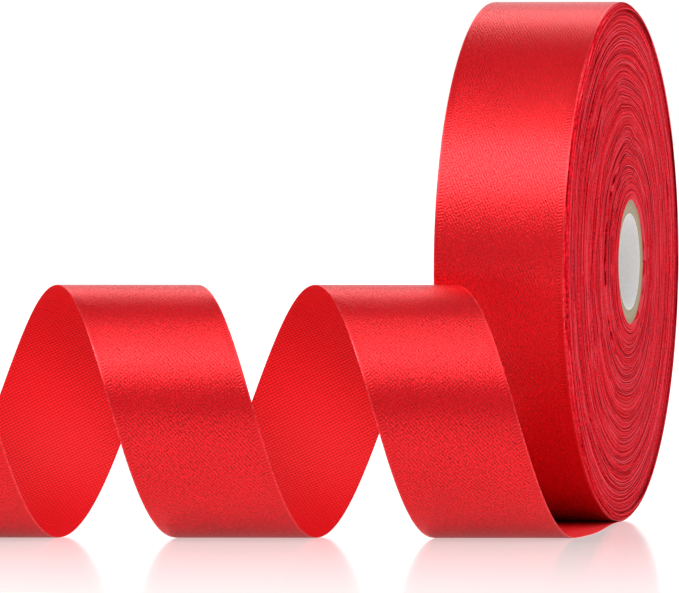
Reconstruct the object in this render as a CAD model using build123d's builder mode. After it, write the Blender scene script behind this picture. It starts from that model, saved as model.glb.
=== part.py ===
"""Roll of satin gift ribbon on a paper tube core, with its free end paid out and curled.

Units are millimetres. The roll's axis is +X and +Z is up. The origin is the centre of the
core's bore. The roll stands on its rim, the free end leaves under the roll towards -Y, lies
on the floor for a short way, and then curls in round turns towards -X.
"""

from build123d import *
import math
import os

os.makedirs("parts", exist_ok=True)

# --- Driving dimensions -------------------------------------------------------------------

# Ribbon: single-face polyester satin
RIBBON_WIDTH = 38.0
RIBBON_THICKNESS = 0.2

# Core: a wound paper tube with a white lining, grey-brown board plies and a kraft wrap
BORE_DIAMETER = 27.5
CORE_LENGTH = 38.0
LINER_THICKNESS = 0.35
PLY_THICKNESS = 0.65
PLY_COUNT = 6
WRAP_THICKNESS = 0.4

# Double-sided tape that holds the ribbon's inner end to the core
TAPE_THICKNESS = 0.1
TAPE_WIDTH = 30.0
TAPE_LENGTH = 12.0
TAPE_CLEARANCE = 0.05

# Wound turns: their edges wander a little, and the inner turns stand out towards +X
PACK_DIAMETER = 151.0
EDGE_WANDER = 0.5
TELESCOPE = 2.3

# Outer turn, which stays with the free end while the roll turns inside it
TURN_CLEARANCE = 0.3
NIP_ANGLE = 8.0

# Free end: a flat lead on the floor, then round curls about a level axis. The first curl
# passes in front of the roll and then beside it, with this much room.
LEAD_DRIFT = 7.9
CURL_DIAMETER = 71.0
CURL_PITCH = 73.0
CURL_YAW = 13.4
CURL_COUNT = 3
CURL_ROOM = 1.0

# --- Values that follow from them ---------------------------------------------------------

bore_radius = BORE_DIAMETER / 2
core_radius = bore_radius + LINER_THICKNESS + PLY_COUNT * PLY_THICKNESS + WRAP_THICKNESS
pack_radius = PACK_DIAMETER / 2
pack_half_width = RIBBON_WIDTH / 2 + EDGE_WANDER
turn_inner_radius = pack_radius + TURN_CLEARANCE
floor_drop = turn_inner_radius + RIBBON_THICKNESS

tape_arc = math.degrees(TAPE_LENGTH / core_radius)
tape_clearance_arc = math.degrees(TAPE_CLEARANCE / core_radius)

curl_radius = CURL_DIAMETER / 2
helix_angle = math.atan2(CURL_PITCH, math.pi * CURL_DIAMETER)
curl_axial_width = RIBBON_WIDTH / math.cos(helix_angle)
curl_direction = Vector(-math.cos(math.radians(CURL_YAW)), -math.sin(math.radians(CURL_YAW)), 0)
curl_front = Vector(math.sin(math.radians(CURL_YAW)), -math.cos(math.radians(CURL_YAW)), 0)
lead_start_right = Vector(RIBBON_WIDTH / 2 - TELESCOPE, 0, -floor_drop)
lead_start_left = Vector(-RIBBON_WIDTH / 2 - TELESCOPE, 0, -floor_drop)


def curl_edge(degrees):
    """How far a curl's right edge has come from where it lifts off, after this much turn."""
    angle = math.radians(degrees)
    along = curl_direction * (CURL_PITCH * degrees / 360)
    round_axis = curl_front * (curl_radius * math.sin(angle))
    return along + round_axis + Vector(0, 0, curl_radius * (1 - math.cos(angle)))


def lead_length():
    """The shortest lead whose first curl clears the tread until it is past the roll's side."""
    side = -pack_half_width - TELESCOPE - CURL_ROOM
    longest = 0
    for degrees in range(360):
        edge = lead_start_right + Vector(LEAD_DRIFT, 0, 0) + curl_edge(degrees)
        if edge.X < side:
            break
        tread = (floor_drop + CURL_ROOM) ** 2 - edge.Z**2
        longest = max(longest, edge.Y + math.sqrt(max(tread, 0)))
    return longest


curl_start = lead_start_right + Vector(LEAD_DRIFT, -lead_length(), 0)
curl_start_left = curl_start + curl_direction * curl_axial_width
paid_out = -curl_start.Y + CURL_COUNT * math.hypot(CURL_PITCH, math.pi * CURL_DIAMETER)
print(f"ribbon paid out from the roll: {paid_out:.0f} mm")


def radial_plane(degrees):
    """A plane through the roll's axis: its x runs along +X, its y outwards at this angle."""
    angle = math.radians(degrees)
    outwards = Vector(0, math.cos(angle), math.sin(angle))
    return Plane(origin=(0, 0, 0), x_dir=(1, 0, 0), z_dir=Vector(1, 0, 0).cross(outwards))


def export(part, name):
    """Label a finished piece and write it as a STEP file of the same name."""
    part.label = name
    export_step(part, f"parts/{name}.step")


# --- Core: lining, board plies and wrap, each a paper tube inside the next ------------------

core_layers = [("core_liner", LINER_THICKNESS)]
core_layers += [(f"core_ply_{number}", PLY_THICKNESS) for number in range(1, PLY_COUNT + 1)]
core_layers += [("core_wrap", WRAP_THICKNESS)]

layer_inner_radius = bore_radius
for layer_name, layer_thickness in core_layers:
    with BuildPart() as core_layer:
        with BuildSketch(Plane.YZ.offset(-CORE_LENGTH / 2)):
            Circle(layer_inner_radius + layer_thickness)
            Circle(layer_inner_radius, mode=Mode.SUBTRACT)
        extrude(amount=CORE_LENGTH)
    export(core_layer.part, layer_name)
    layer_inner_radius += layer_thickness

# --- Start tape: a thin pad on the wrap, under the first turn -------------------------------

TAPE_ANGLE = 90.0
with BuildPart() as start_tape:
    with BuildSketch(radial_plane(TAPE_ANGLE)):
        with Locations((0, core_radius + TAPE_THICKNESS / 2)):
            Rectangle(TAPE_WIDTH, TAPE_THICKNESS)
    revolve(axis=Axis.X, revolution_arc=tape_arc)
export(start_tape.part, "start_tape")

# --- Ribbon pack: all the turns but the last, pushed out towards +X near the core ------------

with BuildPart() as ribbon_pack:
    with BuildSketch(radial_plane(TAPE_ANGLE)):
        with BuildLine():
            Polyline(
                (-pack_half_width, core_radius),
                (pack_half_width, core_radius),
                (pack_half_width - TELESCOPE, pack_radius),
                (-pack_half_width - TELESCOPE, pack_radius),
                close=True,
            )
        make_face()
    revolve(axis=Axis.X)
    with BuildSketch(radial_plane(TAPE_ANGLE - tape_clearance_arc)):
        with Locations((0, core_radius + TAPE_THICKNESS / 2)):
            Rectangle(TAPE_WIDTH + 2 * TAPE_CLEARANCE, TAPE_THICKNESS + 2 * TAPE_CLEARANCE)
    revolve(axis=Axis.X, revolution_arc=tape_arc + 2 * tape_clearance_arc, mode=Mode.SUBTRACT)
export(ribbon_pack.part, "ribbon_pack")

# --- Outer turn: from the bottom of the roll, up its back, over and down its front ----------

BOTTOM_ANGLE = -90.0
with BuildPart() as outer_turn:
    with BuildSketch(radial_plane(BOTTOM_ANGLE)):
        with Locations((-TELESCOPE, turn_inner_radius + RIBBON_THICKNESS / 2)):
            Rectangle(RIBBON_WIDTH, RIBBON_THICKNESS)
    revolve(axis=Axis.X, revolution_arc=360 - NIP_ANGLE)
export(outer_turn.part, "ribbon_outer_turn")

# --- Lead: flat on the floor, from under the roll to where the first curl lifts off ----------

with BuildPart() as ribbon_lead:
    with BuildSketch(Plane.XY.offset(-floor_drop)):
        with BuildLine():
            Polyline(
                (lead_start_right.X, lead_start_right.Y),
                (curl_start.X, curl_start.Y),
                (curl_start_left.X, curl_start_left.Y),
                (lead_start_left.X, lead_start_left.Y),
                close=True,
            )
        make_face()
    extrude(amount=RIBBON_THICKNESS)
export(ribbon_lead.part, "ribbon_lead")

# --- Curls: each is one round turn that rises at the front and comes down at the back --------

with BuildPart() as ribbon_curl:
    with BuildLine():
        Helix(
            pitch=CURL_PITCH,
            height=CURL_PITCH,
            radius=curl_radius - RIBBON_THICKNESS / 2,
            center=(0, 0, curl_axial_width / 2),
        )
    with BuildSketch(Plane.XZ):
        with Locations((curl_radius - RIBBON_THICKNESS / 2, curl_axial_width / 2)):
            Rectangle(RIBBON_THICKNESS, curl_axial_width)
    sweep(is_frenet=True)

for number in range(1, CURL_COUNT + 1):
    turn_start = curl_start + curl_direction * (CURL_PITCH * (number - 1))
    turn_centre = turn_start + Vector(0, 0, curl_radius)
    turn_plane = Plane(origin=turn_centre, x_dir=(0, 0, -1), z_dir=curl_direction)
    export(ribbon_curl.part.moved(turn_plane.location), f"ribbon_curl_{number}")
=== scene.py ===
"""Roll of red satin gift ribbon on a paper tube, with its free end paid out and curled.

Lengths are in metres unless a comment says millimetres. The roll's axis is +X and +Z is up, the
free end leaves under the roll towards -Y, and the curls go away towards -X.
"""

import math
import random

import bpy
import numpy as np
from bpy.props import FloatProperty, FloatVectorProperty, IntProperty, PointerProperty
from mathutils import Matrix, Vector


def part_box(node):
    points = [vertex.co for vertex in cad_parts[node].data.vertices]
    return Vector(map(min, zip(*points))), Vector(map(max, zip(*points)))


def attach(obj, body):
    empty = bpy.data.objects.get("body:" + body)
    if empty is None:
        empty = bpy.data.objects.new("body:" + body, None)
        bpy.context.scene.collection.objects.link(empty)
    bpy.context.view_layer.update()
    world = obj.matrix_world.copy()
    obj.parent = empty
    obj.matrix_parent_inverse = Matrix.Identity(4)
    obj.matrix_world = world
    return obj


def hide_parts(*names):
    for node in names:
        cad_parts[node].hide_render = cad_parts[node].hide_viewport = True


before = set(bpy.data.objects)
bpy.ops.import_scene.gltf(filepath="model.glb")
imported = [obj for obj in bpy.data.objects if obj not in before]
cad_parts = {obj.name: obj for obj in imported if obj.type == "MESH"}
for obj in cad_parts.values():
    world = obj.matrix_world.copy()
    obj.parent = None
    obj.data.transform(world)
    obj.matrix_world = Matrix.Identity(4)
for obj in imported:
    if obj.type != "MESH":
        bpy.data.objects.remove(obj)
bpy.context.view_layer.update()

bl_info = {
    "name": "Satin Ribbon Roll",
    "version": (1, 0, 0),
    "blender": (4, 5, 0),
    "location": "View3D > Sidebar > Ribbon",
    "description": "Builds a roll of satin ribbon with a curled free end, and a small studio",
    "category": "Object",
}

MM = 0.001
TAU = 2 * math.pi
SHARP_ANGLE = math.radians(38)  # corners sharper than this keep a crisp edge


def linear(hex_colour):
    """An sRGB hex colour as the linear red, green and blue that shaders use."""
    parts = [int(hex_colour[i : i + 2], 16) / 255 for i in (1, 3, 5)]
    return tuple(p / 12.92 if p <= 0.04045 else ((p + 0.055) / 1.055) ** 2.4 for p in parts)


def length_prop(name, description, default, **limits):
    """A length in metres that a user may change."""
    return FloatProperty(
        name=name, description=description, default=default, unit="LENGTH", precision=5, **limits
    )


def colour_prop(name, description, default):
    """A colour that a user may change, from its sRGB hex value."""
    return FloatVectorProperty(
        name=name, description=description, default=linear(default), subtype="COLOR", min=0, max=1
    )


# --- What the frame gives ------------------------------------------------------------------

pack_low, pack_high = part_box("ribbon_pack")
turn_low, turn_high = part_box("ribbon_outer_turn")
_, wrap_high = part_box("core_wrap")
curl_low, curl_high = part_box("ribbon_curl_1")
lead_low, lead_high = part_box("ribbon_lead")

TREAD_RADIUS = turn_high.z
PACK_RADIUS = pack_high.z
CORE_RADIUS = wrap_high.z
FLOOR_Z = turn_low.z
TREAD_RIGHT = turn_high.x
TREAD_LEFT = turn_low.x
TREAD_MIDDLE = (TREAD_LEFT + TREAD_RIGHT) / 2
PACK_MIDDLE = (pack_low.x + pack_high.x) / 2


class RibbonSettings(bpy.types.PropertyGroup):
    """Sizes and colours of the ribbon itself."""

    width: length_prop("Width", "Width of the ribbon", TREAD_RIGHT - TREAD_LEFT, min=0.003)
    thickness: length_prop(
        "Thickness", "Thickness of the woven satin", lead_high.z - lead_low.z, min=0.0001
    )
    curl_diameter: length_prop(
        "Curl diameter", "Outer diameter of the curls", curl_high.z - curl_low.z + 0.6 * MM
    )
    curl_pitch: length_prop("Curl pitch", "How far each curl advances along its axis", 0.073)
    curl_yaw: FloatProperty(
        name="Curl yaw", description="Turn of the curls' axis from the roll's axis",
        default=math.radians(13.4), subtype="ANGLE", unit="ROTATION",
    )
    curl_lean: length_prop("Curl lean", "How far the curls' tops lean back to the roll", 0.0026)
    curl_count: IntProperty(
        name="Curls", description="Number of full turns in the free end", default=3, min=1
    )
    selvedge: length_prop("Selvedge", "Width of the firmer woven edge", 0.0021)
    face_colour: colour_prop("Satin face", "Dyed filament on the shiny side", "#F21822")
    # painted shade: the colour of the dips between the floats, where shade falls
    floats_shade_colour: colour_prop("Satin shade", "Dyed filament between the floats", "#980008")
    # painted highlight: the pale pink given to beads along the ribbon's very edge
    edge_glint_colour: colour_prop("Bound edge", "Looped weft that catches light at the edge", "#FF4C54")
    # partly the back's own red, partly a painted glow: lightened for light shining through the thin
    # ribbon
    back_red_and_glow_colour: colour_prop("Dull back", "Plain ground on the dull side", "#FF1A26")
    back_deep_colour: colour_prop("Dull back shade", "Shade between the back's threads", "#CC0610")


class RollSettings(bpy.types.PropertyGroup):
    """Sizes and colours of the wound turns."""

    lean: length_prop("Telescope", "How far the inner turns stand out past the rim", 0.0023)
    group_pitch: length_prop("Turn group", "Mean width of turns that lie together", 0.0007)
    wander: length_prop("Edge wander", "How far turns stand proud or lie back", 0.00045)
    buckle: length_prop("Buckle", "How far slack turns wave in and out", 0.0011)
    edge_colour: colour_prop("Turn edges", "Woven edges of the turns, seen end on", "#F41A2C")
    # painted highlight on proud edges, and painted shade in the gaps between turns
    proud_highlight_colour: colour_prop("Proud edges", "Edges that stand out and catch light", "#FF5A6A")
    gap_shade_colour: colour_prop("Gaps", "Shade in the gaps between turns", "#8E000E")


class CoreSettings(bpy.types.PropertyGroup):
    """Colours of the paper tube."""

    board: colour_prop("Board", "Cut end of the spiral-wound board", "#BDB094")
    board_dark: colour_prop("Board glue line", "Glue lines between the board layers", "#8F7F66")
    lining: colour_prop("Lining", "White paper in the bore", "#F6F5F3")
    wrap: colour_prop("Wrap", "Kraft paper round the tube", "#C7AC84")
    tape: colour_prop("Tape", "Double-sided tape under the first turn", "#DCD8C8")


class StageSettings(bpy.types.PropertyGroup):
    """Floor, lights and camera."""

    floor_colour: colour_prop("Floor", "Pale floor", "#FFFFFF")
    back_light: FloatProperty(
        name="Back softbox", description="Radiance of the back softbox", default=2.5, min=0
    )
    front_light: FloatProperty(
        name="Front softbox", description="Radiance of the front softbox", default=7.3, min=0
    )
    tall_light: FloatProperty(
        name="Tall softbox", description="Radiance of the tall softbox", default=2.5, min=0
    )
    room_light: FloatProperty(
        name="Room", description="Radiance of the dim part of the room", default=0.08, min=0
    )
    side_light: FloatProperty(
        name="Side walls", default=1.1, min=0,
        description="Share of full white on the side walls, where more than 1 widens them",
    )
    camera_distance: length_prop("Camera distance", "From the camera to what it looks at", 2.6)
    camera_azimuth: FloatProperty(
        name="Camera azimuth", description="Turn of the camera to the roll's right",
        default=math.radians(14.3), subtype="ANGLE", unit="ROTATION",
    )
    camera_elevation: FloatProperty(
        name="Camera elevation", description="Height of the camera as an angle",
        default=math.radians(1.65), subtype="ANGLE", unit="ROTATION",
    )
    lens: FloatProperty(
        name="Lens", description="Focal length in millimetres", default=471.0, unit="CAMERA"
    )


# --- Helpers --------------------------------------------------------------------------------


def add_node(tree, kind, inputs=None, **settings):
    """Add a node with its settings, and set each input to a value or link it to a socket."""
    node = tree.nodes.new(kind)
    for name, value in settings.items():
        setattr(node, name, value)
    for name, value in (inputs or {}).items():
        if isinstance(value, bpy.types.NodeSocket):
            tree.links.new(value, node.inputs[name])
        else:
            node.inputs[name].default_value = value
    return node


def new_material(name):
    """An empty node material and its tree."""
    material = bpy.data.materials.new(name)
    material.use_nodes = True
    material.node_tree.nodes.clear()
    return material, material.node_tree


def rgba(colour):
    """A colour with full opacity."""
    return (*colour[:3], 1.0)


def mesh_object(name, points, faces, materials, face_materials=None, uvs=None):
    """A mesh object from points in metres, smooth but for its sharp corners."""
    mesh = bpy.data.meshes.new(name)
    mesh.from_pydata([tuple(p) for p in points], [], faces)
    for material in materials:
        mesh.materials.append(material)
    if face_materials is not None:
        mesh.polygons.foreach_set("material_index", face_materials)
    mesh.polygons.foreach_set("use_smooth", [True] * len(mesh.polygons))
    if uvs is not None:
        layer = mesh.uv_layers.new(name="mm")
        layer.data.foreach_set("uv", np.asarray(uvs, dtype=np.float32).ravel())
    mesh.validate()
    mesh.set_sharp_from_angle(angle=SHARP_ANGLE)
    mesh.update()
    obj = bpy.data.objects.new(name, mesh)
    bpy.context.scene.collection.objects.link(obj)
    return obj


# --- Materials ------------------------------------------------------------------------------


# Spacings of the weave in millimetres. The real ones are 0.3 to 0.4 mm, too fine to show, so
# they are drawn this coarse.
FLOAT_PITCH = 0.80  # slanting lines between floats on the face
WEFT_PITCH = 1.05  # faint rows across the face
STITCH_PITCH = 0.95  # ladder stitches in the selvedge
BACK_PITCH = 0.85  # rows of dots on the back
FLOAT_SLANT = math.radians(64)

# Width and length in millimetres of bright spots on the face, a few real floats to each
STREAK_SIZE = (0.3, 1.2, 1)
FLECK_SIZE = (0.38, 0.6, 1)

POLYESTER_IOR = 1.54
PAPER_IOR = 1.5

# Millimetres added to the radius in the turn edges' pattern, so that the faces differ
RIGHT_SHIFT = 1.5
LEFT_SHIFT = 9.0


def wavy_rows(tree, uv, across, wobble, wander):
    """Rows of a weave: waves in radians for each millimetre, which wander a little."""
    rows = add_node(
        tree, "ShaderNodeVectorMath", {0: uv, 1: (*across, 0)}, operation="DOT_PRODUCT"
    ).outputs["Value"]
    rows = add_node(
        tree, "ShaderNodeMath", {0: wobble, 1: wander, 2: rows}, operation="MULTIPLY_ADD"
    ).outputs[0]
    return add_node(tree, "ShaderNodeMath", {0: rows}, operation="SINE").outputs[0]


def thread_spots(tree, uv, size, turn, detail):
    """Soft spots of thread that catch the light, of a size in millimetres and a slant."""
    spots = add_node(
        tree, "ShaderNodeMapping", {"Vector": uv, "Rotation": (0, 0, turn), "Scale": size},
        vector_type="TEXTURE",
    ).outputs[0]
    spots = add_node(
        tree, "ShaderNodeTexNoise", {"Vector": spots, "Scale": 1.0, "Detail": detail},
        noise_dimensions="2D",
    ).outputs[0]
    return add_node(
        tree, "ShaderNodeMapRange", {"Value": spots, "From Min": 0.3, "From Max": 0.7}
    ).outputs[0]


def satin_face_material(ribbon):
    """Polyester satin, woven so that long filament floats lie over the face.

    The floats give the eye a soft red gloss that turns pink-white at a grazing angle, and the
    steps between them show as fine slanting lines, drawn as bumps, rougher patches and painted
    shade in the dips. Real floats are about 0.3 mm apart, too fine to show, so the lines are
    drawn 0.8 mm apart.
    """
    material, tree = new_material("polyester_satin_face")
    uv = add_node(tree, "ShaderNodeUVMap", uv_map="mm").outputs[0]
    wobble = add_node(
        tree, "ShaderNodeTexNoise", {"Vector": uv, "Scale": 0.35, "Detail": 2.0}
    ).outputs[0]

    # long fibre streaks along the slant, and short flecks where single floats catch the light
    streaks = thread_spots(tree, uv, STREAK_SIZE, FLOAT_SLANT - math.pi / 2, 1.0)
    flecks = thread_spots(tree, uv, FLECK_SIZE, 0, 2.0)
    slanting = TAU * math.sin(FLOAT_SLANT) / FLOAT_PITCH, -TAU * math.cos(FLOAT_SLANT) / FLOAT_PITCH
    lines = wavy_rows(tree, uv, slanting, wobble, 9.0)
    rows = wavy_rows(tree, uv, (2.2, TAU / WEFT_PITCH), wobble, 7.0)
    weave = 0.08
    for pattern, share in ((streaks, 0.3), (flecks, 0.6), (lines, 0.24), (rows, 0.08)):
        weave = add_node(
            tree, "ShaderNodeMath", {0: pattern, 1: share, 2: weave}, operation="MULTIPLY_ADD"
        ).outputs[0]
    weave = add_node(
        tree, "ShaderNodeMapRange", {"Value": weave, "From Min": 0.12, "From Max": 0.82}
    ).outputs[0]

    # the selvedge: ladder stitches beside a smooth bound edge
    parts = add_node(tree, "ShaderNodeSeparateXYZ", {0: uv})
    half = ribbon.width / MM / 2
    from_middle = add_node(
        tree, "ShaderNodeMath", {0: parts.outputs[0], 1: half}, operation="SUBTRACT"
    ).outputs[0]
    from_middle = add_node(
        tree, "ShaderNodeMath", {0: from_middle}, operation="ABSOLUTE"
    ).outputs[0]
    from_edge = add_node(
        tree, "ShaderNodeMath", {0: half, 1: from_middle}, operation="SUBTRACT"
    ).outputs[0]
    edge = ribbon.selvedge / MM
    in_selvedge = add_node(
        tree, "ShaderNodeMapRange",
        {"Value": from_edge, "From Min": edge - 0.25, "From Max": edge + 0.25,
         "To Min": 1.0, "To Max": 0.0},
    ).outputs[0]
    in_ladder = add_node(
        tree, "ShaderNodeMath", {0: from_edge, 1: edge - 0.65, 2: 0.55}, operation="COMPARE"
    ).outputs[0]
    ladder = wavy_rows(tree, uv, (1.6, TAU / STITCH_PITCH), wobble, 5.0)
    ladder = add_node(
        tree, "ShaderNodeMath", {0: ladder, 1: in_ladder}, operation="MULTIPLY"
    ).outputs[0]
    bound = add_node(
        tree, "ShaderNodeMath", {0: flecks, 1: 0.3, 2: 0.4}, operation="MULTIPLY_ADD"
    ).outputs[0]
    ladder = add_node(
        tree, "ShaderNodeMath", {0: ladder, 1: 0.42, 2: bound}, operation="MULTIPLY_ADD"
    ).outputs[0]
    height = add_node(tree, "ShaderNodeMix", {0: in_selvedge, 2: weave, 3: ladder}).outputs[0]

    # painted shade between the floats, darker where the weave's height is low, and a little cloudy
    # dye over centimetres
    cloud = add_node(
        tree, "ShaderNodeTexNoise", {"Vector": uv, "Scale": 0.06, "Detail": 3.0}
    ).outputs[0]
    shade = add_node(
        tree, "ShaderNodeMath", {0: cloud, 1: 0.3, 2: -0.15}, operation="MULTIPLY_ADD"
    ).outputs[0]
    shade = add_node(
        tree, "ShaderNodeMath", {0: height, 1: shade}, operation="ADD", use_clamp=True
    ).outputs[0]
    # painted shade: the weave's low parts take the darker shade colour, its high parts the dyed
    # face colour
    colour = add_node(
        tree, "ShaderNodeMix", {0: shade, 6: rgba(ribbon.floats_shade_colour), 7: rgba(ribbon.face_colour)},
        data_type="RGBA",
    ).outputs[2]

    # painted highlight in beads along the very edge, where the looped weft would catch the light
    glint_spots = add_node(
        tree, "ShaderNodeMath", {0: flecks, 1: 0.15}, operation="SUBTRACT"
    ).outputs[0]
    rim = add_node(
        tree, "ShaderNodeMapRange",
        {"Value": from_edge, "From Min": 0.2, "From Max": 0.55, "To Min": 1.0, "To Max": 0.0},
    ).outputs[0]
    rim = add_node(
        tree, "ShaderNodeMath", {0: rim, 1: glint_spots}, operation="MULTIPLY", use_clamp=True
    ).outputs[0]
    colour = add_node(
        tree, "ShaderNodeMix", {0: rim, 6: colour, 7: rgba(ribbon.edge_glint_colour)}, data_type="RGBA"
    ).outputs[2]
    roughness = add_node(
        tree, "ShaderNodeMapRange", {"Value": height, "To Min": 0.44, "To Max": 0.2}
    ).outputs[0]
    bump = add_node(
        tree, "ShaderNodeBump", {"Height": height, "Strength": 0.5, "Distance": 0.075 * MM}
    ).outputs[0]
    shader = add_node(
        tree, "ShaderNodeBsdfPrincipled",
        {"Base Color": colour, "Roughness": roughness, "Normal": bump, "Metallic": 0.45,
         "IOR": POLYESTER_IOR, "Specular IOR Level": 0.52, "Specular Tint": (1.0, 0.55, 0.55, 1.0)},
    ).outputs[0]
    add_node(tree, "ShaderNodeOutputMaterial", {"Surface": shader})
    return material


def satin_back_material(ribbon):
    """Back of the satin: plain woven ground where the weft binds the floats.

    It gives the eye a duller red with fine slanting rows of dots. Its red is lightened with a
    painted glow for light shining through the thin ribbon, and its darker colour between the
    threads is painted shade. Real rows are about 0.35 mm apart, and they are drawn 0.85 mm
    apart so that they show.
    """
    material, tree = new_material("polyester_satin_back")
    uv = add_node(tree, "ShaderNodeUVMap", uv_map="mm").outputs[0]
    wobble = add_node(
        tree, "ShaderNodeTexNoise", {"Vector": uv, "Scale": 0.4, "Detail": 2.0}
    ).outputs[0]
    turns = TAU / BACK_PITCH
    along = wavy_rows(tree, uv, (0.72 * turns, -0.69 * turns), wobble, 1.5)
    across = wavy_rows(tree, uv, (0.62 * turns, 0.66 * turns), wobble, 1.5)
    grid = add_node(
        tree, "ShaderNodeMath", {0: across, 1: 0.5, 2: along}, operation="MULTIPLY_ADD"
    ).outputs[0]
    grid = add_node(
        tree, "ShaderNodeMapRange", {"Value": grid, "From Min": -1.2, "From Max": 1.3}
    ).outputs[0]
    # the back's red carries a painted glow, and the shade colour between the threads is painted
    # shade
    colour = add_node(
        tree, "ShaderNodeMix",
        {0: grid, 6: rgba(ribbon.back_deep_colour), 7: rgba(ribbon.back_red_and_glow_colour)},
        data_type="RGBA",
    ).outputs[2]
    roughness = add_node(
        tree, "ShaderNodeMapRange", {"Value": grid, "To Min": 0.7, "To Max": 0.5}
    ).outputs[0]
    bump = add_node(
        tree, "ShaderNodeBump", {"Height": grid, "Strength": 0.8, "Distance": 0.12 * MM}
    ).outputs[0]
    shader = add_node(
        tree, "ShaderNodeBsdfPrincipled",
        {"Base Color": colour, "Roughness": roughness, "Normal": bump,
         "IOR": POLYESTER_IOR, "Specular IOR Level": 0.25},
    ).outputs[0]
    add_node(tree, "ShaderNodeOutputMaterial", {"Surface": shader})
    return material


def turn_edges_material(roll):
    """Woven edges of satin ribbon, wound tight and seen end on.

    The edge threads scatter light, so the eye sees a dull pinkish red, with a painted highlight
    where a turn stands proud and painted shade in the gaps between turns. Single turns are
    0.2 mm apart, too fine to show, so lines are drawn for every two to four turns.
    """
    material, tree = new_material("wound_satin_edges")
    uv = add_node(tree, "ShaderNodeUVMap", uv_map="mm").outputs[0]
    parts = add_node(tree, "ShaderNodeSeparateXYZ", {0: uv})

    # fine and broad rings whose radius drifts slowly round the roll
    slow = add_node(
        tree, "ShaderNodeTexNoise", {"Vector": uv, "Scale": 0.05, "Detail": 2.0}
    ).outputs[0]
    radius = add_node(
        tree, "ShaderNodeMath", {0: slow, 1: 1.2, 2: parts.outputs[1]}, operation="MULTIPLY_ADD"
    ).outputs[0]
    fine = add_node(
        tree, "ShaderNodeTexNoise", {"W": radius, "Scale": 2.4, "Detail": 2.0, "Roughness": 0.7},
        noise_dimensions="1D",
    ).outputs[0]
    fine = add_node(
        tree, "ShaderNodeMapRange", {"Value": fine, "From Min": 0.33, "From Max": 0.67}
    ).outputs[0]
    broad = add_node(
        tree, "ShaderNodeTexNoise", {"W": radius, "Scale": 0.35, "Detail": 2.0},
        noise_dimensions="1D",
    ).outputs[0]
    thread = add_node(
        tree, "ShaderNodeMapping", {"Vector": uv, "Scale": (1.8, 2.5, 1.0)}
    ).outputs[0]
    thread = add_node(
        tree, "ShaderNodeTexNoise", {"Vector": thread, "Scale": 1.0, "Detail": 2.0}
    ).outputs[0]
    thread = add_node(
        tree, "ShaderNodeMapRange", {"Value": thread, "From Min": 0.35, "From Max": 0.7}
    ).outputs[0]
    mix = -0.2
    for pattern, share, last in ((fine, 0.8, False), (thread, 0.3, False), (broad, 0.35, True)):
        mix = add_node(
            tree, "ShaderNodeMath", {0: pattern, 1: share, 2: mix},
            operation="MULTIPLY_ADD", use_clamp=last,
        ).outputs[0]

    # the first turns are pressed tight against the tube, so the painted gap shade is left out there
    first = CORE_RADIUS / MM + RIGHT_SHIFT
    tight = add_node(
        tree, "ShaderNodeMapRange",
        {"Value": parts.outputs[1], "From Min": first, "From Max": first + 0.7,
         "To Min": 0.35, "To Max": 0.0},
    ).outputs[0]
    mix = add_node(
        tree, "ShaderNodeMath", {0: mix, 1: tight}, operation="ADD", use_clamp=True
    ).outputs[0]
    # painted shade in the gaps, the turns' own red, and a painted highlight on proud edges
    ramp = add_node(tree, "ShaderNodeValToRGB", {0: mix})
    gap, proud = ramp.color_ramp.elements
    gap.position, gap.color = 0.2, rgba(roll.gap_shade_colour)
    proud.position, proud.color = 1.0, rgba(roll.proud_highlight_colour)
    ramp.color_ramp.elements.new(0.52).color = rgba(roll.edge_colour)

    height = add_node(
        tree, "ShaderNodeMath", {0: thread, 1: 0.3, 2: fine}, operation="MULTIPLY_ADD"
    ).outputs[0]
    bump = add_node(
        tree, "ShaderNodeBump", {"Height": height, "Strength": 0.8, "Distance": 0.2 * MM}
    ).outputs[0]
    shader = add_node(
        tree, "ShaderNodeBsdfPrincipled",
        {"Base Color": ramp.outputs[0], "Roughness": 0.75, "Normal": bump,
         "IOR": POLYESTER_IOR, "Specular IOR Level": 0.03},
    ).outputs[0]
    add_node(tree, "ShaderNodeOutputMaterial", {"Surface": shader})
    return material


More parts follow.
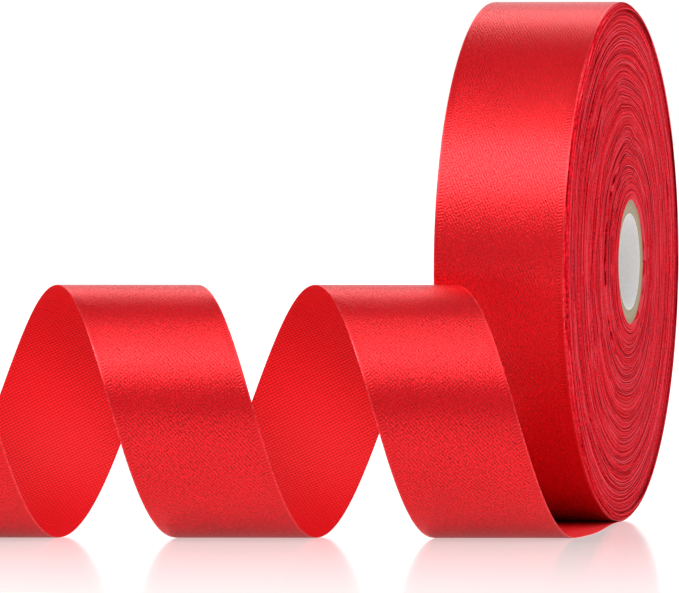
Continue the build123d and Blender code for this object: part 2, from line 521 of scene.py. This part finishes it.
def paper_material(name, light, dark, layer_pitch, grain, roughness):
    """Paper or board: pressed cellulose fibre, matt, with a mottled grain of short fibres.

    Fibres are 0.5 to 1.5 mm long, which sets the grain. On a cut end the glued layers show as
    fine rings. The layer pitch and the grain are in millimetres.
    """
    material, tree = new_material(name)
    place = add_node(tree, "ShaderNodeTexCoord").outputs["Object"]
    parts = add_node(tree, "ShaderNodeSeparateXYZ", {0: place})
    flat = add_node(
        tree, "ShaderNodeCombineXYZ", {1: parts.outputs[1], 2: parts.outputs[2]}
    ).outputs[0]
    radius = add_node(tree, "ShaderNodeVectorMath", {0: flat}, operation="LENGTH").outputs["Value"]
    rings = add_node(
        tree, "ShaderNodeTexNoise", {"W": radius, "Scale": 1 / (layer_pitch * MM), "Detail": 2.0},
        noise_dimensions="1D",
    ).outputs[0]
    fibres = add_node(
        tree, "ShaderNodeTexNoise",
        {"Vector": place, "Scale": 1 / (grain * MM), "Detail": 5.0, "Roughness": 0.7},
    ).outputs[0]
    mix = add_node(
        tree, "ShaderNodeMath", {0: rings, 1: 0.8, 2: -0.35}, operation="MULTIPLY_ADD"
    ).outputs[0]
    mix = add_node(
        tree, "ShaderNodeMath", {0: fibres, 1: 1.1, 2: mix},
        operation="MULTIPLY_ADD", use_clamp=True,
    ).outputs[0]
    colour = add_node(
        tree, "ShaderNodeMix", {0: mix, 6: rgba(dark), 7: rgba(light)}, data_type="RGBA"
    ).outputs[2]
    bump = add_node(
        tree, "ShaderNodeBump", {"Height": fibres, "Strength": 0.4, "Distance": 0.1 * MM}
    ).outputs[0]
    rough = add_node(
        tree, "ShaderNodeMapRange",
        {"Value": fibres, "To Min": roughness - 0.1, "To Max": roughness + 0.1},
    ).outputs[0]
    shader = add_node(
        tree, "ShaderNodeBsdfPrincipled",
        {"Base Color": colour, "Roughness": rough, "Normal": bump, "IOR": PAPER_IOR},
    ).outputs[0]
    add_node(tree, "ShaderNodeOutputMaterial", {"Surface": shader})
    return material


# --- The ribbon's free end ------------------------------------------------------------------


LAST_TURN = math.radians(368)  # the last turn goes round once and a little under itself
TURN_STEPS = 184
LEAD_STEPS = 28
CURL_STEPS = 130

# Columns across the ribbon: close together at its edges, in millimetres from each edge, then
# evenly spaced between
EDGE_COLUMNS = (0, 0.12, 0.4, 0.9, 1.6, 2.4)
FIRST_INNER_COLUMN = 3.4 * MM
INNER_COLUMNS = 13
EDGE_TUCK = 0.05 * MM  # the edge is rounded off this much
EDGE_ROUND = 0.12 * MM  # over this width

TURN_TIGHTENING = 0.25 * MM  # how much closer the last turn lies at its far end
TURN_DRIFT = 0.12 * MM  # how far it wanders sideways
LEAN_SETBACK = 0.65  # share of the curls' lean by which they begin further along


def roll_station(angle):
    """Centre, width direction and outward direction on the last turn, by angle from the bottom."""
    radius = TREAD_RADIUS - TURN_TIGHTENING * angle / TAU
    outward = Vector((0, math.sin(angle), -math.cos(angle)))
    drift = TURN_DRIFT * math.sin(2 * angle + 0.6) * min(1, angle)
    centre = outward * radius + Vector((TREAD_MIDDLE + drift, 0, 0))
    return centre, Vector((-1, 0, 0)), outward


class CurlPath:
    """Where the ribbon lies from the roll's bottom to its cut end, by length along its middle."""

    def __init__(self, ribbon):
        self.radius = ribbon.curl_diameter / 2
        self.lean = ribbon.curl_lean
        self.width = ribbon.width
        self.helix = math.atan2(ribbon.curl_pitch, math.pi * ribbon.curl_diameter)
        yaw = ribbon.curl_yaw
        self.axis = Vector((-math.cos(yaw), -math.sin(yaw), 0))
        self.front = Vector((math.sin(yaw), -math.cos(yaw), 0))
        right_end = Vector((lead_high.x, 0, FLOOR_Z))
        right_end.y = lead_low.y + self.width / math.cos(self.helix) * math.sin(yaw)
        self.origin = right_end + self.axis * (LEAN_SETBACK * self.lean)
        self.forward = self.axis * math.sin(self.helix) + self.front * math.cos(self.helix)
        self.across = self.axis * math.cos(self.helix) - self.front * math.sin(self.helix)
        self.lead_from = Vector((TREAD_MIDDLE, 0, FLOOR_Z))
        self.lead_to = self.origin + self.across * (self.width / 2)
        self.reach = (self.lead_to - self.lead_from).length
        self.turns = ribbon.curl_count
        one_turn = math.hypot(ribbon.curl_pitch, math.pi * ribbon.curl_diameter)
        self.curl_length = self.turns * one_turn

    def lead_point(self, t, w):
        """A point of the lead: t from 0 at the roll to 1 at the curl, w from its right edge."""
        p0, p1 = self.lead_from, self.lead_to
        m0, m1 = Vector((0, -1, 0)) * self.reach, self.forward * self.reach
        centre = (
            p0 * (2 * t**3 - 3 * t**2 + 1) + m0 * (t**3 - 2 * t**2 + t)
            + p1 * (-2 * t**3 + 3 * t**2) + m1 * (t**3 - t**2)
        )
        heading = (
            p0 * (6 * t**2 - 6 * t) + m0 * (3 * t**2 - 4 * t + 1)
            + p1 * (-6 * t**2 + 6 * t) + m1 * (3 * t**2 - 2 * t)
        ).normalized()
        across = Vector((heading.y, -heading.x, 0))
        return centre + across * (w - self.width / 2), Vector((0, 0, -1))

    def curl_point(self, length, w):
        """A point of the curls: length from where they begin, w from the ribbon's right edge."""
        along = length * math.sin(self.helix) + w * math.cos(self.helix)
        round_axis = length * math.cos(self.helix) - w * math.sin(self.helix)
        base = self.origin + self.axis * along
        if round_axis <= 0:
            return base + self.front * round_axis, Vector((0, 0, -1))
        angle = round_axis / self.radius
        rise = self.radius * (1 - math.cos(angle))
        outward = self.front * math.sin(angle) + Vector((0, 0, -math.cos(angle)))
        point = base + self.front * (self.radius * math.sin(angle)) + Vector((0, 0, rise))
        return point - self.axis * (self.lean * rise / (2 * self.radius)), outward


def build_free_end(settings):
    """One length of ribbon: the last turn, the flat lead and the curls, as a thin closed shell."""
    ribbon = settings.ribbon
    path = CurlPath(ribbon)
    width = ribbon.width
    columns = [e * MM for e in EDGE_COLUMNS]
    columns += list(np.linspace(FIRST_INNER_COLUMN, width - FIRST_INNER_COLUMN, INNER_COLUMNS))
    columns += [width - e * MM for e in reversed(EDGE_COLUMNS)]

    # cross rows along the ribbon, each with its length from the roll's bottom
    stations = []
    for i in range(TURN_STEPS + 1):
        angle = LAST_TURN * (1 - i / TURN_STEPS)
        centre, across, outward = roll_station(angle)
        row = [(centre + across * (w - width / 2), outward) for w in columns]
        stations.append((-angle * TREAD_RADIUS, row))
    for i in range(1, LEAD_STEPS + 1):
        t = i / LEAD_STEPS
        stations.append((path.reach * t, [path.lead_point(t, w) for w in columns]))
    steps = CURL_STEPS * path.turns
    for i in range(1, steps + 1):
        length = path.curl_length * i / steps
        stations.append((path.reach + length, [path.curl_point(length, w) for w in columns]))

    # each row is a closed loop: over the satin face, and back under the dull side
    count = len(columns)
    points, uv_of = [], []
    for length, row in stations:
        face, back = [], []
        for w, (point, outward) in zip(columns, row):
            tuck = EDGE_TUCK * max(0, 1 - min(w, width - w) / EDGE_ROUND)
            face.append((w, point - outward * tuck))
            back.append((w, point - outward * (ribbon.thickness - tuck)))
        for w, point in face + back[::-1]:
            points.append(point)
            uv_of.append((w / MM, length / MM))
    loop = 2 * count
    faces, face_materials, uvs = [], [], []
    for i in range(len(stations) - 1):
        for j in range(loop):
            k = (j + 1) % loop
            faces.append((i * loop + j, i * loop + k, (i + 1) * loop + k, (i + 1) * loop + j))
            face_materials.append(1 if count <= j < loop - 1 else 0)
    for start, order in ((0, 1), ((len(stations) - 1) * loop, -1)):
        for j in range(count - 1):
            end = [start + j, start + loop - 1 - j, start + loop - 2 - j, start + j + 1]
            faces.append(end[::order])
            face_materials.append(0)
    for face in faces:
        uvs.extend(uv_of[v] for v in face)
    piece = mesh_object(
        "ribbon_free_end", points, faces,
        [satin_face_material(ribbon), satin_back_material(ribbon)], face_materials, uvs,
    )
    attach(piece, "free_end")
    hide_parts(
        "ribbon_outer_turn", "ribbon_lead", "ribbon_curl_1", "ribbon_curl_2", "ribbon_curl_3"
    )
    return piece


# --- The wound turns ------------------------------------------------------------------------


ROUND_STEPS = 180
FACE_ROUND = 40  # millimetres of pattern for each radian, near a middle turn's radius

# How the last few turns step in under the outer turn: depth below the rim, and reach past the
# outer turn's edge, in millimetres
RIGHT_STEPS = (
    (2.0, 0.95), (1.75, 0.8), (1.7, 1.15), (1.25, 1.1), (1.2, 0.75),
    (0.85, 0.7), (0.8, 0.9), (0.5, 0.85), (0.45, 0.4), (0.1, 0.35), (0.0, -0.2),
)
LEFT_STEPS = (
    (0.0, -0.3), (0.4, -0.2), (0.45, 0.05), (0.9, 0.1),
    (0.95, -0.1), (1.4, -0.05), (1.45, 0.2), (2.0, 0.2),
)
RIM_DEPTH = 2.0 * MM
CORE_LIFT = 0.45 * MM  # how far the right face stands up beside the tube
WAVE = 0.1 * MM  # how far each turn's edge waves out of its plane


def turn_groups(roll, seed):
    """Groups of turns from the core to the rim: radius, width, how far proud, gap depth, wave."""
    draw = random.Random(seed)
    groups, radius, band = [], CORE_RADIUS, 0.0
    while radius < PACK_RADIUS - RIM_DEPTH:
        width = roll.group_pitch * draw.uniform(0.62, 1.38)
        if draw.random() < 0.16:
            band = draw.uniform(-0.8, 0.5) * roll.wander
        proud = band + draw.gauss(0, 0.16) * roll.wander
        deep = draw.random() < 0.13
        gap = roll.wander * (draw.uniform(0.8, 1.25) if deep else draw.uniform(0.3, 0.55))
        groups.append((radius, width, proud, gap, draw.uniform(0, TAU), draw.choice((1, 2, 3, 5))))
        radius += width
    return groups


def face_profile(side, roll):
    """Points of one face from the core to the rim: radius, x, wave phase and count for each."""
    profile = []
    span = PACK_RADIUS - CORE_RADIUS
    base = {1: pack_high.x - 0.15 * MM, -1: pack_low.x + roll.lean + 0.5 * MM}[side]
    seed = {1: 11, -1: 29}[side]
    for radius, width, proud, gap, phase, count in turn_groups(roll, seed):
        above = radius - CORE_RADIUS
        lift = CORE_LIFT * math.exp(-above / (4 * MM)) if side > 0 else 0
        # the gaps are shallow beside the tube, where the turns are pressed tight
        gap *= min(1, 0.2 + above / (14 * MM))
        high = base + lift - roll.lean * above / span + side * proud
        profile.append((radius, high - side * gap, phase, count))
        profile.append((radius + 0.24 * width, high, phase, count))
        profile.append((radius + 0.82 * width, high, phase, count))
    return profile


def slack_turn(angle, share, roll):
    """How far a turn sags in or out at this angle, by its share of the way to the rim."""
    slack = max(0, math.exp(-(((share - 0.5) / 0.27) ** 2)) - 0.04) * roll.buckle
    upper = 0.4 + 0.6 * max(0, math.sin(angle))
    # a crease inwards just behind the top, and a smaller bulge outwards just in front of it
    crease = math.exp(-(((angle - 1.42 + 0.25 * share) / 0.11) ** 2))
    crease -= 0.7 * math.exp(-(((angle - 1.72) / 0.13) ** 2))
    long_wave = 0.5 * math.sin(7 * angle + 9 * share)
    short_wave = 0.35 * math.sin(13 * angle + 17 * share + 1.3)
    return slack * upper * (long_wave + short_wave - 1.3 * crease)


def build_wound_turns(settings):
    """All the wound turns but the last: both faces show the turns' edges as fine rings."""
    roll = settings.roll
    # at the rim the last few turns step in under the outer turn, one by one
    rim = []
    for steps, edge, side in ((RIGHT_STEPS, TREAD_RIGHT, 1), (LEFT_STEPS, TREAD_LEFT, -1)):
        for depth, reach in steps:
            rim.append((PACK_RADIUS - depth * MM, edge + side * reach * MM, 0.0, 1))
    profile = face_profile(1, roll) + rim + face_profile(-1, roll)[::-1]
    points, uv_of = [], []
    for radius, x, phase, count in profile:
        share = (radius - CORE_RADIUS) / (PACK_RADIUS - CORE_RADIUS)
        wave = WAVE if 0.02 < share < 0.96 else 0
        side, shift = (1, RIGHT_SHIFT) if x > PACK_MIDDLE else (-1, LEFT_SHIFT)
        for i in range(ROUND_STEPS):
            angle = TAU * i / ROUND_STEPS
            r = radius + slack_turn(angle, share, roll)
            out = x + side * wave * math.sin(count * angle + phase)
            points.append((out, r * math.cos(angle), r * math.sin(angle)))
            uv_of.append((angle * FACE_ROUND, radius / MM + shift))
    faces, uvs = [], []
    for k in range(len(profile)):
        near, far = k * ROUND_STEPS, (k + 1) % len(profile) * ROUND_STEPS
        for i in range(ROUND_STEPS):
            j = (i + 1) % ROUND_STEPS
            faces.append((near + i, near + j, far + j, far + i))
            last = TAU * FACE_ROUND if j == 0 else uv_of[near + j][0]
            uvs += [
                uv_of[near + i], (last, uv_of[near + j][1]),
                (last, uv_of[far + j][1]), uv_of[far + i],
            ]
    piece = mesh_object("wound_turns", points, faces, [turn_edges_material(roll)], None, uvs)
    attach(piece, "roll")
    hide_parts("ribbon_pack")
    return piece


# --- Core -----------------------------------------------------------------------------------


def finish_core(settings):
    """Give the paper tube's own layers their paper, board and tape finishes."""
    core = settings.core
    board = paper_material(
        "spiral_wound_board", core.board, core.board_dark,
        layer_pitch=0.65, grain=0.5, roughness=0.85,
    )
    lining = paper_material(
        "white_lining_paper", core.lining, linear("#E2E2E2"),
        layer_pitch=4.0, grain=1.2, roughness=0.6,
    )
    wrap = paper_material(
        "kraft_wrap_paper", core.wrap, linear("#9C8460"),
        layer_pitch=0.3, grain=0.7, roughness=0.8,
    )
    tape = paper_material(
        "tissue_tape", core.tape, linear("#B8B29C"),
        layer_pitch=2.0, grain=1.5, roughness=0.5,
    )
    finishes = {"core_liner": lining, "core_wrap": wrap, "start_tape": tape}
    finishes.update({name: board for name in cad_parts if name.startswith("core_ply")})
    for name, material in finishes.items():
        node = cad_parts[name]
        if node.material_slots:
            for slot in node.material_slots:
                slot.material = material
        else:
            node.data.materials.append(material)


# --- Stage ----------------------------------------------------------------------------------

FLOOR_REACH = 9.0
AIM_LEFT = 0.064  # the camera looks at a point this far left of the roll's middle
AIM_DOWN = 0.0103  # and this far below it


def softbox(name, place, aim, size, radiance):
    """A soft rectangular light at a place, turned to what it lights, of a given radiance."""
    light = bpy.data.lights.new(name, "AREA")
    light.shape = "RECTANGLE"
    light.size, light.size_y = size
    light.energy = radiance * math.pi * size[0] * size[1]
    lamp = bpy.data.objects.new(name, light)
    lamp.location = place
    lamp.rotation_euler = (Vector(aim) - Vector(place)).to_track_quat("-Z", "Y").to_euler()
    bpy.context.scene.collection.objects.link(lamp)
    return lamp


def from_angles(azimuth, elevation, distance):
    """A point round the roll: azimuth from the front to the right, elevation upwards."""
    a, e = math.radians(azimuth), math.radians(elevation)
    return Vector((math.sin(a) * math.cos(e), -math.cos(a) * math.cos(e), math.sin(e))) * distance


def build_floor(stage):
    """Pale floor, polished under the ribbon, that mirrors it faintly."""
    material, tree = new_material("pale_floor")
    pale = rgba(stage.floor_colour)
    # what the ribbon gets back from the floor
    chalk = add_node(tree, "ShaderNodeBsdfDiffuse", {"Color": (0.7, 0.7, 0.7, 1)}).outputs[0]
    fill = add_node(tree, "ShaderNodeEmission", {"Color": pale, "Strength": 0.34}).outputs[0]
    chalk = add_node(tree, "ShaderNodeAddShader", {0: chalk, 1: fill}).outputs[0]
    # what the eye sees of it, close to white
    veil = add_node(tree, "ShaderNodeBsdfDiffuse", {"Color": (0.3, 0.3, 0.3, 1)}).outputs[0]
    glow = add_node(tree, "ShaderNodeEmission", {"Color": pale, "Strength": 1.3}).outputs[0]
    white = add_node(tree, "ShaderNodeAddShader", {0: glow, 1: veil}).outputs[0]
    seen = add_node(tree, "ShaderNodeLightPath").outputs["Is Camera Ray"]
    base = add_node(tree, "ShaderNodeMixShader", {0: seen, 1: chalk, 2: white}).outputs[0]
    gloss = add_node(
        tree, "ShaderNodeBsdfGlossy", {"Color": (1, 1, 1, 1), "Roughness": 0.1}
    ).outputs[0]
    # the floor is polished under the ribbon and dull further out
    place = add_node(tree, "ShaderNodeTexCoord").outputs["Object"]
    apart = add_node(tree, "ShaderNodeSeparateXYZ", {0: place}).outputs[1]
    apart = add_node(tree, "ShaderNodeMath", {0: apart}, operation="ABSOLUTE").outputs[0]
    polish = add_node(
        tree, "ShaderNodeMapRange",
        {"Value": apart, "From Min": 0.1, "From Max": 0.85, "To Min": 0.95, "To Max": 0.25},
    ).outputs[0]
    weight = add_node(tree, "ShaderNodeFresnel", {"IOR": 1.3}).outputs[0]
    weight = add_node(
        tree, "ShaderNodeMath", {0: weight, 1: polish}, operation="MULTIPLY"
    ).outputs[0]
    surface = add_node(tree, "ShaderNodeMixShader", {0: weight, 1: base, 2: gloss}).outputs[0]
    add_node(tree, "ShaderNodeOutputMaterial", {"Surface": surface})
    corners = [
        (x * FLOOR_REACH, y * FLOOR_REACH, FLOOR_Z) for x, y in ((-1, -1), (1, -1), (1, 1), (-1, 1))
    ]
    floor = mesh_object("floor", corners, [(0, 1, 2, 3)], [material])


def build_room(stage):
    """A room that looks white, lit low at the back and on both sides, and dim elsewhere."""
    world = bpy.data.worlds.new("white_room")
    world.use_nodes = True
    tree = world.node_tree
    tree.nodes.clear()
    way = add_node(tree, "ShaderNodeTexCoord").outputs["Generated"]
    way = add_node(tree, "ShaderNodeSeparateXYZ", {0: way})
    behind = add_node(
        tree, "ShaderNodeMapRange", {"Value": way.outputs[1], "From Min": 0.15, "From Max": 0.4}
    ).outputs[0]
    low = add_node(
        tree, "ShaderNodeMapRange", {"Value": way.outputs[2], "From Min": 0.5, "From Max": 0.3}
    ).outputs[0]
    wall = add_node(tree, "ShaderNodeMath", {0: behind, 1: low}, operation="MULTIPLY").outputs[0]
    aside = add_node(
        tree, "ShaderNodeMath", {0: way.outputs[0]}, operation="ABSOLUTE"
    ).outputs[0]
    beside = add_node(
        tree, "ShaderNodeMapRange",
        {"Value": aside, "From Min": 0.6, "From Max": 0.85, "To Max": stage.side_light},
    ).outputs[0]
    wall = add_node(tree, "ShaderNodeMath", {0: wall, 1: beside}, operation="MAXIMUM").outputs[0]
    seen = add_node(tree, "ShaderNodeLightPath").outputs["Is Camera Ray"]
    white = add_node(tree, "ShaderNodeMath", {0: wall, 1: seen}, operation="MAXIMUM").outputs[0]
    strength = add_node(
        tree, "ShaderNodeMapRange", {"Value": white, "To Min": stage.room_light, "To Max": 1.0}
    ).outputs[0]
    light = add_node(
        tree, "ShaderNodeBackground", {"Color": (1, 1, 1, 1), "Strength": strength}
    ).outputs[0]
    add_node(tree, "ShaderNodeOutputWorld", {"Surface": light})
    bpy.context.scene.world = world


def build_camera(stage):
    """The camera, turned to the roll's right and a little above it."""
    scene = bpy.context.scene
    camera = bpy.data.objects.new("camera", bpy.data.cameras.new("camera"))
    camera.data.lens = stage.lens
    camera.data.sensor_width = 36
    camera.data.clip_end = 60
    a, e = stage.camera_azimuth, stage.camera_elevation
    forward = Vector((-math.sin(a) * math.cos(e), math.cos(a) * math.cos(e), -math.sin(e)))
    right = Vector((math.cos(a), math.sin(a), 0))
    up = right.cross(forward)
    aim = Vector((TREAD_MIDDLE, 0, 0)) - right * AIM_LEFT - up * AIM_DOWN
    camera.location = aim - forward * stage.camera_distance
    camera.rotation_euler = forward.to_track_quat("-Z", "Y").to_euler()
    scene.collection.objects.link(camera)
    scene.camera = camera


def build_stage(settings):
    """Pale floor, white room, softboxes and the camera."""
    stage = settings.stage
    bpy.context.scene.view_settings.view_transform = "Standard"
    build_floor(stage)
    build_room(stage)
    middle = (0, 0, 0)
    softbox("back_softbox", from_angles(165, 46, 1.5), middle, (2.2, 0.5), stage.back_light)
    softbox("front_softbox", from_angles(-28, 41.5, 1.5), middle, (1.2, 0.68), stage.front_light)
    softbox("tall_softbox", (0.22, -0.75, 1.3), (0.22, -0.1, -0.04), (0.66, 1.9), stage.tall_light)
    build_camera(stage)


# --- The add-on -----------------------------------------------------------------------------


class RibbonRollSettings(bpy.types.PropertyGroup):
    """All the settings of the roll."""

    ribbon: PointerProperty(type=RibbonSettings)
    roll: PointerProperty(type=RollSettings)
    core: PointerProperty(type=CoreSettings)
    stage: PointerProperty(type=StageSettings)


class RIBBON_OT_core(bpy.types.Operator):
    """Finish the paper tube core"""

    bl_idname = "ribbon.core"
    bl_label = "Finish Core"

    def execute(self, context):
        finish_core(context.scene.ribbon_roll)
        return {"FINISHED"}


class RIBBON_OT_wound_turns(bpy.types.Operator):
    """Build the wound turns with their edge rings"""

    bl_idname = "ribbon.wound_turns"
    bl_label = "Build Wound Turns"

    def execute(self, context):
        build_wound_turns(context.scene.ribbon_roll)
        return {"FINISHED"}


class RIBBON_OT_free_end(bpy.types.Operator):
    """Build the last turn, the lead and the curls as one ribbon"""

    bl_idname = "ribbon.free_end"
    bl_label = "Build Free End"

    def execute(self, context):
        build_free_end(context.scene.ribbon_roll)
        return {"FINISHED"}


class RIBBON_OT_stage(bpy.types.Operator):
    """Set up the pale floor, the soft lights and the camera"""

    bl_idname = "ribbon.stage"
    bl_label = "Set Up Stage"

    def execute(self, context):
        build_stage(context.scene.ribbon_roll)
        return {"FINISHED"}


class RIBBON_PT_panel(bpy.types.Panel):
    """Sizes, colours and the build steps of the ribbon roll"""

    bl_idname = "RIBBON_PT_panel"
    bl_label = "Ribbon Roll"
    bl_space_type = "VIEW_3D"
    bl_region_type = "UI"
    bl_category = "Ribbon"

    def draw(self, context):
        layout = self.layout
        settings = context.scene.ribbon_roll
        for title, operator in (
            ("core", RIBBON_OT_core), ("roll", RIBBON_OT_wound_turns),
            ("ribbon", RIBBON_OT_free_end), ("stage", RIBBON_OT_stage),
        ):
            box = layout.box()
            group = getattr(settings, title)
            for name in group.__annotations__:
                box.prop(group, name)
            box.operator(operator.bl_idname)


CLASSES = (
    RibbonSettings, RollSettings, CoreSettings, StageSettings, RibbonRollSettings,
    RIBBON_OT_core, RIBBON_OT_wound_turns, RIBBON_OT_free_end, RIBBON_OT_stage, RIBBON_PT_panel,
)


def register():
    """Register the classes and hang the settings on the scene."""
    for cls in CLASSES:
        bpy.utils.register_class(cls)
    bpy.types.Scene.ribbon_roll = PointerProperty(type=RibbonRollSettings)


def unregister():
    """Take the settings and the classes away again."""
    del bpy.types.Scene.ribbon_roll
    for cls in reversed(CLASSES):
        bpy.utils.unregister_class(cls)


def main():
    """Build everything in order."""
    register()
    bpy.ops.ribbon.core()
    bpy.ops.ribbon.wound_turns()
    bpy.ops.ribbon.free_end()
    bpy.ops.ribbon.stage()


if __name__ == "__main__":
    main()
